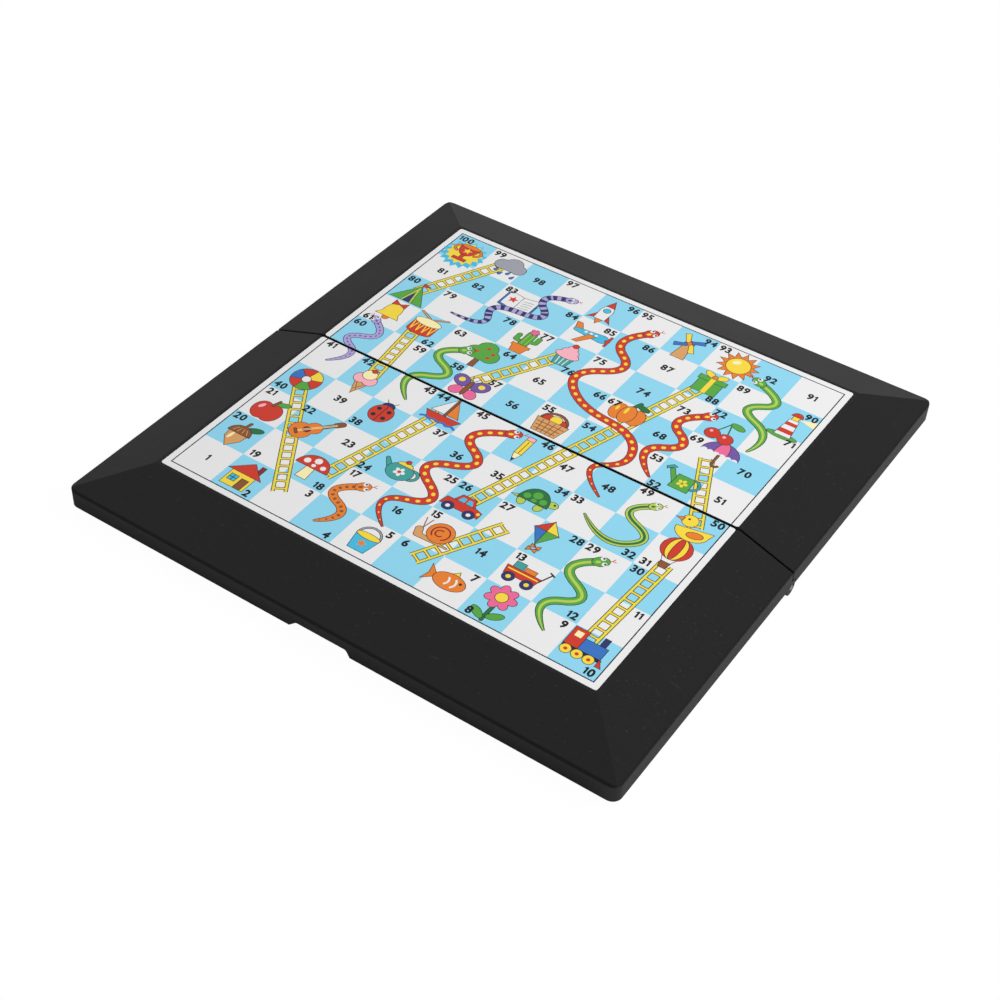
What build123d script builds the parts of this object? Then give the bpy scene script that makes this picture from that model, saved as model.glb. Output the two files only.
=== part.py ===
"""Folding board for snakes and ladders: a flat box whose two halves open into one playing board.

Laid open, the two moulded halves lie with their play faces up and their hollows down. A hinge
along the middle lets the back half swing down and under the front half, until rim meets rim and
the hollows make one closed storage box with a play face on each side.

Frame, in millimetres: X runs along the hinge, Y runs from the front half to the back half, and
Z is up. The origin is below the middle of the board, level with the underside of the hinge barrels.
Every piece of a half is drawn as it lies in the front half, and mirrored for the back half.
"""

from build123d import *

import os
from math import hypot

# Whole board, laid open
board_width = 250.0
board_depth = 254.5
deck_rise = 16.6
outer_wall_rise = 8.0
corner_radius = 4.0
outer_edge_radius = 0.7
seam_gap = 0.8
seam_edge_chamfer = 0.25

# Printed sheet, the steel plate under it, and the flat land round them
sheet_width = 198.8
sheet_depth = 202.0
sheet_thickness = 0.25
sheet_corner_radius = 1.0
sheet_seam_inset = 0.35
sheet_sink = 0.05
plate_thickness = 0.4
plate_margin = 0.6
recess_clearance = 0.25
land_width = 1.2

# Walls of a moulded half
outer_wall = 2.0
spine_wall = 2.0
slope_skin = 2.0
deck_skin = 2.0

# Thumb notch in the rim of each half
notch_width = 27.9
notch_left_flank = 3.4
notch_right_flank = 1.7
notch_depth = 3.1
notch_centre = -1.35
notch_corner_radius = 1.4

# Hinge: barrels on both halves, with one pin at each end of the seam
barrel_radius = 3.4
ear_length = 6.0
knuckle_length = 9.4
knuckle_play = 0.3
barrel_clearance = 0.4
rim_gap_when_shut = 0.2
web_rise = 6.0
web_foot_rise = 1.5
pin_diameter = 2.4
pin_grip_clearance = 0.02
pin_running_clearance = 0.07
pin_end_proud = 0.3
pin_end_play = 0.3
pin_blind_wall = 2.2
pin_end_chamfer = 0.3

# Closing magnets, each in a post on the inside of the outer wall
magnet_diameter = 6.0
magnet_thickness = 2.0
magnet_clearance = 0.03
magnet_sink = 0.15
magnet_glue_gap = 0.05
magnet_offset = 46.0
post_wall = 1.5
post_overlap = 0.6

# Stiffening ribs under the deck and gussets over the hinge barrels
rib_width = 1.2
rib_height = 1.2
long_rib_count = 2
cross_rib_count = 6
gusset_reach = 9.0
gusset_width = 1.6

# Levels and distances worked out from the sizes above
axis_height = barrel_radius
rim_level = axis_height + rim_gap_when_shut / 2
deck_level = rim_level + deck_rise
wall_top_level = rim_level + outer_wall_rise
sheet_top = deck_level - sheet_sink
plate_top = sheet_top - sheet_thickness
recess_floor = plate_top - plate_thickness
ceiling_level = recess_floor - deck_skin
half_width = board_width / 2
half_depth = board_depth / 2
seam_face = seam_gap / 2
spine_inner = seam_face + spine_wall
land_half_width = sheet_width / 2 + recess_clearance + land_width
land_half_depth = sheet_depth / 2 + recess_clearance + land_width
overrun = 1.0


def prism_along_x(points, start, end):
    """Closed outline in the Y-Z plane, drawn out along X from start to end."""
    outline = make_face(Polyline(*points, close=True))
    return Pos(start, 0, 0) * extrude(Plane.YZ * outline, amount=end - start)


def prism_along_y(points, start, end):
    """Closed outline in the X-Z plane, drawn out along Y from start to end."""
    outline = make_face(Polyline(*points, close=True))
    return Pos(0, end, 0) * extrude(Plane.XZ * outline, amount=end - start)


def rod_along_x(radius, start, end):
    """Round bar on the hinge axis, from start to end along X."""
    bar = Cylinder(radius, end - start, rotation=(0, 90, 0))
    return Pos((start + end) / 2, 0, axis_height) * bar


def plan_block(width, near, far, low, high, far_radius=0.0, near_radius=0.0):
    """Block that is a rectangle from above, near and far in -Y, with its corners rounded."""
    outline = Pos(0, -(near + far) / 2) * Rectangle(width, far - near)
    corners = outline.vertices().sort_by(Axis.Y)
    if far_radius:
        outline = fillet(corners[:2], far_radius)
        corners = outline.vertices().sort_by(Axis.Y)
    if near_radius:
        outline = fillet(corners[-2:], near_radius)
    return Pos(0, 0, low) * extrude(outline, amount=high - low)


def slope_fall(span, land):
    """How far a sloping border falls for each millimetre outwards."""
    return (deck_level - wall_top_level) / (span - land)


def outer_side(span, land):
    """Outside of a half's section: up the wall from the rim, and up the slope to the land."""
    return [(span, rim_level), (span, wall_top_level), (land, deck_level)]


def inner_side(span, land):
    """Inside of the same section, one wall and one skin further in."""
    fall = slope_fall(span, land)
    skin_drop = slope_skin * hypot(1, fall)
    foot = span - outer_wall
    shoulder = wall_top_level + outer_wall * fall - skin_drop
    head = land + (deck_level - skin_drop - ceiling_level) / fall
    return [(foot, rim_level - overrun), (foot, shoulder), (head, ceiling_level)]


def mitred_form(side, inset, near, radius):
    """Solid with the section that side gives, carried round three sides with mitred corners."""
    across = side(half_width, land_half_width)
    along = side(half_depth, land_half_depth)
    low = across[0][1]
    high = across[-1][1]
    far = half_depth - inset
    plan = plan_block(board_width - 2 * inset, near, far, low, high, far_radius=radius)
    mirrored = [(-x, z) for x, z in reversed(across)]
    width_prism = prism_along_y(across + mirrored, -half_depth - overrun, overrun)
    seam_side = [(overrun, high), (overrun, low)]
    depth_prism = prism_along_x([(-y, z) for y, z in along] + seam_side, -board_width, board_width)
    return plan & width_prism & depth_prism


def outer_form():
    """Outside of a half, with the edge above its outer wall rounded and its seam edge broken."""
    body = mitred_form(outer_side, 0.0, seam_face, corner_radius)
    steepest = max(slope_fall(half_width, land_half_width), slope_fall(half_depth, land_half_depth))
    corner_rise = steepest * corner_radius
    wall_edges = [
        edge
        for edge in body.edges()
        if edge.bounding_box().min.Z > wall_top_level - overrun / 2
        and edge.bounding_box().max.Z < wall_top_level + corner_rise
    ]
    body = fillet(wall_edges, outer_edge_radius)
    seam_side = body.faces().sort_by(Axis.Y)[-1]
    seam_edges = [
        edge for edge in seam_side.edges() if edge.center().Z > wall_top_level + outer_edge_radius
    ]
    return chamfer(seam_edges, seam_edge_chamfer)


def knuckle_spans(owner):
    """Where one half's hinge barrels lie along X. The front half has the ear at each end."""
    spans = []
    outer = half_width
    lengths = (("front", ear_length), ("back", knuckle_length), ("front", knuckle_length))
    for half, length in lengths:
        if half == owner:
            spans.append((outer - length, outer))
            spans.append((-outer, length - outer))
        outer -= length + knuckle_play
    return spans


def hinge_web(start, end):
    """Thickening that carries a barrel on the inside of the spine wall."""
    outline = [
        (-seam_face, axis_height),
        (-seam_face, rim_level + web_rise),
        (-spine_inner, rim_level + web_rise),
        (-barrel_radius, rim_level + web_foot_rise),
        (-barrel_radius, axis_height),
    ]
    return prism_along_x(outline, start, end)


def gusset(start, end):
    """Triangular rib from the spine wall to the deck, over the middle of a barrel."""
    middle = (start + end) / 2
    outline = [
        (-seam_face, rim_level + web_foot_rise),
        (-spine_inner, rim_level + web_foot_rise),
        (-spine_inner - gusset_reach, ceiling_level + overrun),
        (-seam_face, ceiling_level + overrun),
    ]
    return prism_along_x(outline, middle - gusset_width / 2, middle + gusset_width / 2)


def deck_ribs():
    """Low ribs on the underside of the deck, evenly spaced both ways."""
    low = ceiling_level - rib_height
    high = ceiling_level + overrun
    ribs = []
    pitch = board_width / (cross_rib_count + 1)
    for number in range(cross_rib_count):
        middle = -half_width + pitch * (number + 1)
        ribs.append(Pos(middle, 0, 0) * plan_block(rib_width, 0, half_depth, low, high))
    pitch = half_depth / (long_rib_count + 1)
    for number in range(long_rib_count):
        middle = pitch * (number + 1)
        near = middle - rib_width / 2
        ribs.append(plan_block(board_width, near, near + rib_width, low, high))
    return ribs


def magnet_places():
    """Centres of the closing magnets, seen from above."""
    post_radius = magnet_diameter / 2 + post_wall
    back = half_depth - outer_wall - post_radius + post_overlap
    return [(-magnet_offset, -back), (magnet_offset, -back)]


def disc(radius, centre, low, high):
    """Upright round disc between two levels."""
    return Pos(centre[0], centre[1], (low + high) / 2) * Cylinder(radius, high - low)


def thumb_notch():
    """Cutter for the notch in the outer wall that a thumb opens the shut box by."""
    top = rim_level + notch_depth
    left = notch_centre - notch_width / 2
    right = notch_centre + notch_width / 2
    outline = make_face(
        Polyline(
            (left, rim_level - overrun),
            (left, rim_level),
            (left + notch_left_flank, top),
            (right - notch_right_flank, top),
            (right, rim_level),
            (right, rim_level - overrun),
            close=True,
        )
    )
    outline = fillet(outline.vertices().sort_by(Axis.Y)[-2:], notch_corner_radius)
    cut_depth = outer_wall + 2 * overrun
    return Pos(0, -half_depth - overrun + cut_depth, 0) * extrude(Plane.XZ * outline, amount=cut_depth)


def tray(owner, other, bore_clearance):
    """One moulded half: mitred shell, recess, ribs, magnet posts, thumb notch and hinge barrels."""
    own_spans = knuckle_spans(owner)
    hollow = mitred_form(inner_side, outer_wall, spine_inner, corner_radius - outer_wall)
    kept = deck_ribs()
    kept += [hinge_web(*span) for span in own_spans]
    kept += [gusset(*span) for span in own_spans]
    post_radius = magnet_diameter / 2 + post_wall
    kept += [disc(post_radius, place, rim_level, deck_level) for place in magnet_places()]
    for solid in kept:
        hollow -= solid
    body = outer_form() - hollow

    recess_far = sheet_depth / 2 + recess_clearance
    recess_width = sheet_width + 2 * recess_clearance
    recess_radius = sheet_corner_radius + recess_clearance
    body -= plan_block(recess_width, 0, recess_far, recess_floor, deck_level + overrun, recess_radius)
    body -= thumb_notch()
    pocket_radius = magnet_diameter / 2 + magnet_clearance
    pocket_top = rim_level + magnet_sink + magnet_thickness + magnet_glue_gap
    for place in magnet_places():
        body -= disc(pocket_radius, place, rim_level - overrun, pocket_top)

    swept_radius = barrel_radius + barrel_clearance
    for start, end in knuckle_spans(other):
        reach = [overrun if abs(limit) == half_width else knuckle_play for limit in (start, end)]
        body -= rod_along_x(swept_radius, start - reach[0], end + reach[1])
    for start, end in own_spans:
        body += rod_along_x(barrel_radius, start, end)
        body += hinge_web(start, end)
    bore_radius = pin_diameter / 2 + bore_clearance
    for start, end in pin_bores():
        body -= rod_along_x(bore_radius, start, end)
    return body


def pin_ends():
    """Inner and outer end of a hinge pin, as distances from the middle of the board."""
    innermost = min(start for start, end in knuckle_spans("front") if start > 0)
    return innermost + pin_blind_wall + pin_end_play, half_width + pin_end_proud


def pin_bores():
    """Blind holes for the two pins, open at the ends of the seam."""
    inner = pin_ends()[0] - pin_end_play
    outer = half_width + overrun
    return [(inner, outer), (-outer, -inner)]


def hinge_pin(side):
    """Steel pin with broken ends, at the right for side 1 and at the left for side -1."""
    inner, outer = pin_ends()
    start, end = sorted((side * inner, side * outer))
    pin = rod_along_x(pin_diameter / 2, start, end)
    rims = pin.edges().filter_by(GeomType.CIRCLE)
    return chamfer(rims, pin_end_chamfer)


def play_sheet():
    """Printed sheet of one half, in its recess."""
    near = seam_face + sheet_seam_inset
    radius = sheet_corner_radius
    return plan_block(sheet_width, near, sheet_depth / 2, plate_top, sheet_top, radius, radius)


def steel_plate():
    """Steel plate of one half, hidden under its printed sheet."""
    near = seam_face + sheet_seam_inset + plate_margin
    far = sheet_depth / 2 - plate_margin
    radius = sheet_corner_radius
    width = sheet_width - 2 * plate_margin
    return plan_block(width, near, far, recess_floor, plate_top, radius, radius)


def magnet(place):
    """One closing magnet in its pocket, just inside the rim."""
    low = rim_level + magnet_sink
    return disc(magnet_diameter / 2, place, low, low + magnet_thickness)


def for_back(body):
    """Same piece in the back half."""
    return mirror(body, about=Plane.XZ)


left_place, right_place = magnet_places()
pieces = {
    "front_tray": tray("front", "back", pin_grip_clearance),
    "back_tray": for_back(tray("back", "front", pin_running_clearance)),
    "front_steel_plate": steel_plate(),
    "back_steel_plate": for_back(steel_plate()),
    "front_play_sheet": play_sheet(),
    "back_play_sheet": for_back(play_sheet()),
    "left_hinge_pin": hinge_pin(-1),
    "right_hinge_pin": hinge_pin(1),
    "front_left_magnet": magnet(left_place),
    "front_right_magnet": magnet(right_place),
    "back_left_magnet": for_back(magnet(left_place)),
    "back_right_magnet": for_back(magnet(right_place)),
}

os.makedirs("parts", exist_ok=True)
for name, body in pieces.items():
    export_step(body, f"parts/{name}.step")
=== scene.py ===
"""Looks of the folding snakes-and-ladders board: mouldings, prints, pins, plates and magnets."""

from math import atan2, ceil, cos, pi, radians, sin

import bmesh
import bpy
from mathutils import Matrix, Vector
from mathutils.geometry import delaunay_2d_cdt


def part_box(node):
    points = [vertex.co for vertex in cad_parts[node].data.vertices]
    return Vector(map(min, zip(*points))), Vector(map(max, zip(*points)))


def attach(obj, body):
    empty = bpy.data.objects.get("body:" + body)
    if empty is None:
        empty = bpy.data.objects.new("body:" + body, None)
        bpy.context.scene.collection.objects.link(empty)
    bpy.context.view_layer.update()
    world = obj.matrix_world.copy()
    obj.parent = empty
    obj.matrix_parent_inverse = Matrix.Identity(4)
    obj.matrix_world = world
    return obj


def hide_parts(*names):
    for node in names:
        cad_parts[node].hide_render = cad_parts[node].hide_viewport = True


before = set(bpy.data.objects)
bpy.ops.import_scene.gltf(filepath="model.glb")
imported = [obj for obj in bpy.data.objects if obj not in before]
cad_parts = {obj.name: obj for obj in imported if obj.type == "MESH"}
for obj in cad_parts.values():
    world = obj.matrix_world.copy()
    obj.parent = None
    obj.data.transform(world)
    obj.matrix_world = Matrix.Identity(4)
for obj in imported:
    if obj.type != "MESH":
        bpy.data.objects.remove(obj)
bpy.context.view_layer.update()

MM = 0.001


# ---------- node trees


def math_method(operation, swapped=False):
    """Method of a wire that adds one Math node."""

    def add_node(self, other=0.0):
        first, second = (other, self) if swapped else (self, other)
        return self.graph.node("ShaderNodeMath", {0: first, 1: second}, operation=operation)

    return add_node


class Wire:
    """Output of a node, which takes Python arithmetic and adds the Math nodes for it."""

    def __init__(self, graph, socket):
        self.graph = graph
        self.socket = socket

    __add__ = math_method("ADD")
    __radd__ = math_method("ADD", swapped=True)
    __sub__ = math_method("SUBTRACT")
    __rsub__ = math_method("SUBTRACT", swapped=True)
    __mul__ = math_method("MULTIPLY")
    __rmul__ = math_method("MULTIPLY", swapped=True)
    __truediv__ = math_method("DIVIDE")
    __pow__ = math_method("POWER")
    __mod__ = math_method("FLOORED_MODULO")
    __gt__ = math_method("GREATER_THAN")
    __abs__ = math_method("ABSOLUTE")
    floor = math_method("FLOOR")
    at_most = math_method("MINIMUM")
    at_least = math_method("MAXIMUM")


class Graph:
    """Node tree under construction. Every node of it comes from the node method."""

    def __init__(self, tree):
        self.tree = tree

    def node(self, kind, inputs=None, output=0, **settings):
        made = self.tree.nodes.new(kind)
        for name, value in settings.items():
            setattr(made, name, value)
        for name, value in (inputs or {}).items():
            if isinstance(value, Wire):
                self.tree.links.new(value.socket, made.inputs[name])
            else:
                made.inputs[name].default_value = value
        return Wire(self, made.outputs[output]) if made.outputs else None

    def blended(self, share, under, over):
        return self.node("ShaderNodeMixShader", {0: share, 1: under, 2: over})


class Finish(Graph):
    """Material under construction, patterned on the piece's own coordinates."""

    def __init__(self, name):
        self.material = bpy.data.materials.new(name)
        self.material.use_nodes = True
        super().__init__(self.material.node_tree)
        self.tree.nodes.clear()
        self.place = self.node("ShaderNodeTexCoord", output="Object")

    def noise(self, size, detail=2.0, roughness=0.5, x_scale=1.0):
        """Clouds from 0 to 1, about size metres across, and drawn out along X by a low x_scale."""
        place = self.place
        if x_scale != 1.0:
            inputs = {0: place, 1: (x_scale, 1.0, 1.0)}
            place = self.node("ShaderNodeVectorMath", inputs, operation="MULTIPLY")
        inputs = {"Vector": place, "Scale": 1 / size, "Detail": detail, "Roughness": roughness}
        return self.node("ShaderNodeTexNoise", inputs)

    def span(self, value, low, high):
        """Value between low and high, eased onto the range from 0 to 1."""
        inputs = {"Value": value, "From Min": low, "From Max": high}
        return self.node("ShaderNodeMapRange", inputs, interpolation_type="SMOOTHSTEP")

    def away(self, axis, low, high, middle=0.0):
        """Mask that rises from 0 to 1 between two distances from the middle of an axis."""
        reach = self.node("ShaderNodeSeparateXYZ", {0: self.place}, output=axis)
        return self.span(abs(reach - middle), low, high)

    def mixed(self, share, under, over):
        inputs = {0: share, 6: under, 7: over}
        return self.node("ShaderNodeMix", inputs, 2, data_type="RGBA")

    def bump(self, height, depth, strength, **under):
        inputs = {"Height": height, "Distance": depth, "Strength": strength, **under}
        return self.node("ShaderNodeBump", inputs)

    def shader(self, **sockets):
        inputs = {name.replace("_", " "): value for name, value in sockets.items()}
        return self.node("ShaderNodeBsdfPrincipled", inputs)

    def done(self, surface):
        self.node("ShaderNodeOutputMaterial", {"Surface": surface})
        return self.material

    def metal(self, shade, roughness, normal):
        surface = self.shader(Base_Color=shade, Metallic=1.0, Roughness=roughness, Normal=normal)
        return self.done(surface)


# ---------- finishes


def linear(red, green, blue):
    """Linear colour of a shade written as it looks on a screen, from 0 to 255."""
    shades = [shade / 255 for shade in (red, green, blue)]
    curved = [s / 12.92 if s <= 0.04045 else ((s + 0.055) / 1.055) ** 2.4 for s in shades]
    return (*curved, 1.0)


# The painted shade along the rounded edge above the outer walls, a dark line without reflection:
# its height, where it fades above and below that, where the outer walls begin from the board's
# middle, and how strongly the shade is painted on each pair of them.
EDGE_LEVEL = 0.0112
EDGE_FADE = (0.00045, 0.0007)
OUTER_SIDES = (0.1236, 0.124)
OUTER_ENDS = (0.12585, 0.12625)
SIDE_EDGE_SHADE = 0.22
END_EDGE_SHADE = 0.52


def moulded_plastic():
    """Black plastic: spark-eroded grain, slow flow marks, rubbed patches and a little dust.

    A fine line of painted shade, dark and without reflection, runs along the rounded edge above
    the outer wall.
    """
    finish = Finish("black_moulded_plastic")
    black = linear(14, 14, 15)
    flow = finish.noise(0.045, 3.0, 0.6)
    grain = finish.noise(0.00042, 3.0, 0.65)
    specks = finish.span(finish.noise(0.0011, 1.0), 0.70, 0.76)
    rubs = finish.noise(0.0016, x_scale=0.12)
    rubbed = finish.span(rubs, 0.68, 0.74) * finish.span(flow, 0.5, 0.62)
    shade = finish.mixed(flow, black, linear(19, 19, 20))
    shade = finish.mixed(specks * 0.16, shade, linear(96, 95, 93))
    shade = finish.mixed(rubbed * 0.2, shade, linear(70, 70, 72))
    roughness = 0.40 + flow * 0.10 + grain * 0.06 + specks * 0.15
    normal = finish.bump(grain, 0.00003, 0.35, Normal=finish.bump(flow, 0.0003, 0.12))
    glossy = finish.shader(Base_Color=shade, Roughness=roughness, Normal=normal, IOR=1.5)
    # Painted shade: a dark, unreflecting skin mixed in along the rounded edge above the outer
    # walls.
    painted_edge_shade = finish.shader(Base_Color=black, Roughness=0.8, Specular_IOR_Level=0.05)
    edge = 1.0 - finish.away("Z", *EDGE_FADE, middle=EDGE_LEVEL)
    ends = finish.away("Y", *OUTER_ENDS) * END_EDGE_SHADE
    sides = finish.away("X", *OUTER_SIDES) * SIDE_EDGE_SHADE
    return finish.done(finish.blended(edge * ends.at_least(sides), glossy, painted_edge_shade))


def drawn_steel():
    """Hinge wire: fine draw lines along its length, a film of oil and a little tarnish."""
    finish = Finish("drawn_steel")
    lines = finish.noise(0.00012, x_scale=0.02)
    tarnish = finish.span(finish.noise(0.0016, 3.0), 0.45, 0.7)
    shade = finish.mixed(tarnish, linear(196, 195, 192), linear(150, 146, 140))
    roughness = 0.22 + lines * 0.18 + tarnish * 0.15
    return finish.metal(shade, roughness, finish.bump(lines, 0.00001, 0.5))


def nickel_plate():
    """Plating of the closing magnets: bright, with polishing swirls and finger marks."""
    finish = Finish("nickel_plate")
    swirls = finish.noise(0.00025, x_scale=0.3)
    marks = finish.span(finish.noise(0.0022), 0.5, 0.62)
    shade = finish.mixed(marks * 0.5, linear(214, 212, 206), linear(178, 173, 164))
    roughness = 0.12 + swirls * 0.10 + marks * 0.16
    return finish.metal(shade, roughness, finish.bump(swirls, 0.000006, 0.4))


def tinned_steel():
    """Plate under a printed sheet: dull tin with a spangled grain and fine scratches."""
    finish = Finish("tinned_steel")
    inputs = {"Vector": finish.place, "Scale": 160.0}
    spangle = finish.node("ShaderNodeTexVoronoi", inputs, "Color")
    level = finish.node("ShaderNodeSeparateColor", {0: spangle})
    shade = finish.mixed(level, linear(172, 174, 177), linear(196, 198, 200))
    scratches = finish.noise(0.0003, x_scale=0.05)
    return finish.metal(shade, 0.3 + level * 0.15, finish.bump(scratches, 0.00001, 0.4))


def printed_ink(name, shade):
    """One ink of the print, under a satin laminate with an orange-peel skin and fine scuffs."""
    finish = Finish("ink_" + name)
    patches = finish.noise(0.03)
    mottle = finish.noise(0.0007, 3.0, 0.7)
    peel = finish.noise(0.0021, 1.0)
    scuffs = finish.noise(0.0009, x_scale=0.08)
    scuffed = finish.span(scuffs, 0.69, 0.75) * finish.span(patches, 0.48, 0.6)
    worn = (*[0.94 * level for level in shade[:3]], 1.0)
    tint = finish.mixed(mottle, worn, shade)
    tint = finish.mixed(scuffed * 0.12, tint, linear(236, 236, 236))
    roughness = 0.30 + patches * 0.06 + mottle * 0.05 + scuffed * 0.2
    normal = finish.bump(peel, 0.00001, 0.35)
    surface = finish.shader(Base_Color=tint, Roughness=roughness, Normal=normal, IOR=1.46)
    return finish.done(surface)


SHADES = {
    "paper": (232, 232, 233),
    "sky": (141, 211, 236),
    "line": (38, 34, 40),
    "black": (22, 22, 26),
    "red": (204, 56, 38),
    "maroon": (138, 40, 42),
    "orange": (230, 126, 42),
    "yellow": (244, 214, 62),
    "cream": (248, 236, 180),
    "lemon": (232, 216, 74),
    "olive": (88, 80, 30),
    "green": (84, 164, 62),
    "leaf": (38, 112, 58),
    "lime": (180, 202, 84),
    "teal": (62, 158, 152),
    "cyan": (66, 186, 222),
    "blue": (52, 112, 190),
    "navy": (46, 50, 104),
    "purple": (112, 84, 160),
    "lavender": (170, 162, 214),
    "pink": (232, 104, 150),
    "rose": (246, 176, 190),
    "brown": (136, 82, 46),
    "tan": (214, 158, 98),
    "grey": (156, 158, 168),
}
inks = {name: printed_ink(name, linear(*shade)) for name, shade in SHADES.items()}


# ---------- board squares

COLUMNS = 10
ROWS = 10

# In millimetres: from the sheet's edge to the squares, and the dark line round them.
FRAME_INSET = 3.12
FRAME_LINE = 0.5

front_low, front_high = [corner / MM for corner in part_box("front_play_sheet")]
back_low, back_high = [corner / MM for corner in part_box("back_play_sheet")]
grid_left = front_low.x + FRAME_INSET
grid_front = front_low.y + FRAME_INSET
square_width = -2 * grid_left / COLUMNS
square_depth = (front_high.y - grid_front) / (ROWS / 2)
row_pitch = -2 * grid_front / ROWS


def on_board(across, back):
    """Place in millimetres of a point counted in squares from the front left corner."""
    return Vector((grid_left + across * square_width, grid_front + back * row_pitch))


def square_middle(number):
    """Middle of a numbered square: the numbers run to and fro from the front left."""
    row, step = divmod(number - 1, COLUMNS)
    column = COLUMNS - 1 - step if row % 2 else step
    return on_board(column + 0.5, row + 0.5)


# ---------- flat outlines

# Corners of a whole oval, degrees between those of part of one, and steps round a bar's end.
OVAL_CORNERS = 28
SLICE_STEP = 12
END_STEPS = 6


def oval(x, y, half_width, half_height=None, turn=0.0):
    half_height = half_height or half_width
    steps = [2 * pi * step / OVAL_CORNERS for step in range(OVAL_CORNERS)]
    spin = Matrix.Rotation(radians(turn), 2)
    ring = [Vector((half_width * cos(a), half_height * sin(a))) for a in steps]
    return [Vector((x, y)) + spin @ point for point in ring]


def slice_of(x, y, radius, start, end, height=None):
    """Part of an oval between two angles, closed by the straight line between its ends."""
    count = max(4, ceil(abs(end - start) / SLICE_STEP))
    angles = [radians(start + (end - start) * step / count) for step in range(count + 1)]
    height = height or radius
    return [(x + radius * cos(a), y + height * sin(a)) for a in angles]


def dome(x, y, radius, height):
    """Upper half of an oval, or its lower half where the height is negative."""
    return slice_of(x, y, radius, 0, 180, height)


def bar(x1, y1, x2, y2, width, far_width=None):
    """Straight bar with round ends, which may taper."""
    far = width if far_width is None else far_width
    turn = atan2(y2 - y1, x2 - x1)
    bends = [pi * step / END_STEPS - pi / 2 for step in range(END_STEPS + 1)]
    ring = [(x1, y1, width, turn + pi + bend) for bend in bends]
    ring += [(x2, y2, far, turn + bend) for bend in bends]
    return [(x + w / 2 * cos(a), y + w / 2 * sin(a)) for x, y, w, a in ring]


def arch(x, y, radius, width, start, end):
    """Bent band with square ends."""
    outer = slice_of(x, y, radius + width / 2, start, end)
    return outer + slice_of(x, y, radius - width / 2, end, start)


def star(x, y, outer, inner, tips):
    points = []
    for step in range(2 * tips):
        reach = inner if step % 2 else outer
        angle = radians(90 + 180 * step / tips)
        points.append((x + reach * cos(angle), y + reach * sin(angle)))
    return points


def tapered(low, low_half, high, high_half):
    """Shape between two heights, as wide to the left as to the right at each."""
    return [(-low_half, low), (low_half, low), (high_half, high), (-high_half, high)]


def block(x, y, width, height):
    """Upright rectangle round a middle point."""
    sides = ((-1, -1), (1, -1), (1, 1), (-1, 1))
    return [(x + a * width / 2, y + b * height / 2) for a, b in sides]


def petals(x, y, reach, count, half_length, half_width):
    """Ovals set round a point, pointing away from it."""
    turns = [360 * step / count for step in range(count)]
    places = [(x + reach * cos(radians(t)), y + reach * sin(radians(t)), t) for t in turns]
    return [oval(across, up, half_length, half_width, t) for across, up, t in places]


def both(*outlines):
    """Outlines, and their mirror images on the picture's other side."""
    return [*outlines, *([(-x, y) for x, y in outline] for outline in outlines)]


def area(outline):
    pairs = zip(outline, outline[1:] + outline[:1])
    return sum(a.x * b.y - b.x * a.y for a, b in pairs) / 2


def anticlockwise(outline):
    return outline if area(outline) > 0 else outline[::-1]


def grown(outline, margin):
    """Outline moved outwards all round, with its sharp tips held to three margins."""
    made = []
    points = anticlockwise(outline)
    for before, here, after in zip(points[-1:] + points[:-1], points, points[1:] + points[:1]):
        into = (here - before).normalized()
        out = (after - here).normalized()
        normal = Vector((into.y + out.y, -into.x - out.x))
        if normal.length < 1e-6:
            normal = Vector((into.y, -into.x))
        normal.normalize()
        lean = max(normal.x * into.y - normal.y * into.x, 1 / 3)
        made.append(here + normal * margin / lean)
    return made


# ---------- the print's layers

# Shapes of fewer square millimetres are left out.
LEAST_AREA = 1e-3


class Layers:
    """Inked shapes in millimetres on the board, each laid over those before it."""

    def __init__(self):
        self.shapes = []

    def lay(self, ink, outline):
        points = [Vector(point) for point in outline]
        if abs(area(points)) > LEAST_AREA:
            self.shapes.append((ink, anticlockwise(points)))


class Pen:
    """Draws a picture that spans 20 units, at a place on the board."""

    LINE = 0.27

    def __init__(self, layers, place, size, turn=0.0):
        self.layers = layers
        self.place = place
        self.scale = size / 20
        self.spin = Matrix.Rotation(radians(turn), 2)

    def put(self, outline):
        return [self.place + self.spin @ Vector(point) * self.scale for point in outline]

    def mark(self, ink, *outlines):
        """Shapes without a line, such as spots and shines."""
        for outline in outlines:
            self.layers.lay(ink, self.put(outline))

    def lay(self, ink, *outlines):
        """Shapes of one ink, with a dark line round them all together."""
        for outline in outlines:
            self.layers.lay("line", grown(self.put(outline), self.LINE))
        self.mark(ink, *outlines)

    def wheels(self, tyre, hub, y, radius, hub_radius, places):
        for x in places:
            self.lay(tyre, oval(x, y, radius))
            self.mark(hub, oval(x, y, hub_radius))


# ---------- pictures on the squares


def sun(pen):
    pen.lay("orange", star(0, 0, 10, 6.6, 13))
    pen.lay("yellow", oval(0, 0, 5.8))
    pen.mark("cream", oval(-1.8, 2, 2.2, 1.5, 40))


def flower(pen):
    pen.lay("leaf", bar(0, -10, 0, 3, 1.3))
    pen.lay("green", oval(3.6, -6, 3.6, 1.6, 32), oval(-3.6, -7.5, 3.6, 1.6, 148))
    pen.lay("pink", *petals(0, 4, 4.1, 7, 2.6, 1.9))
    pen.lay("yellow", oval(0, 4, 2.5))


def apple(pen):
    pen.lay("red", *both(oval(2.8, -1.5, 5.4, 6.6, -8)))
    pen.lay("brown", bar(0, 4, 1.4, 8.4, 1.2))
    pen.lay("green", oval(4.8, 7.2, 3.4, 1.6, 22))
    pen.mark("rose", oval(-4.6, 1, 1.1, 2.2, -25))


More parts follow.
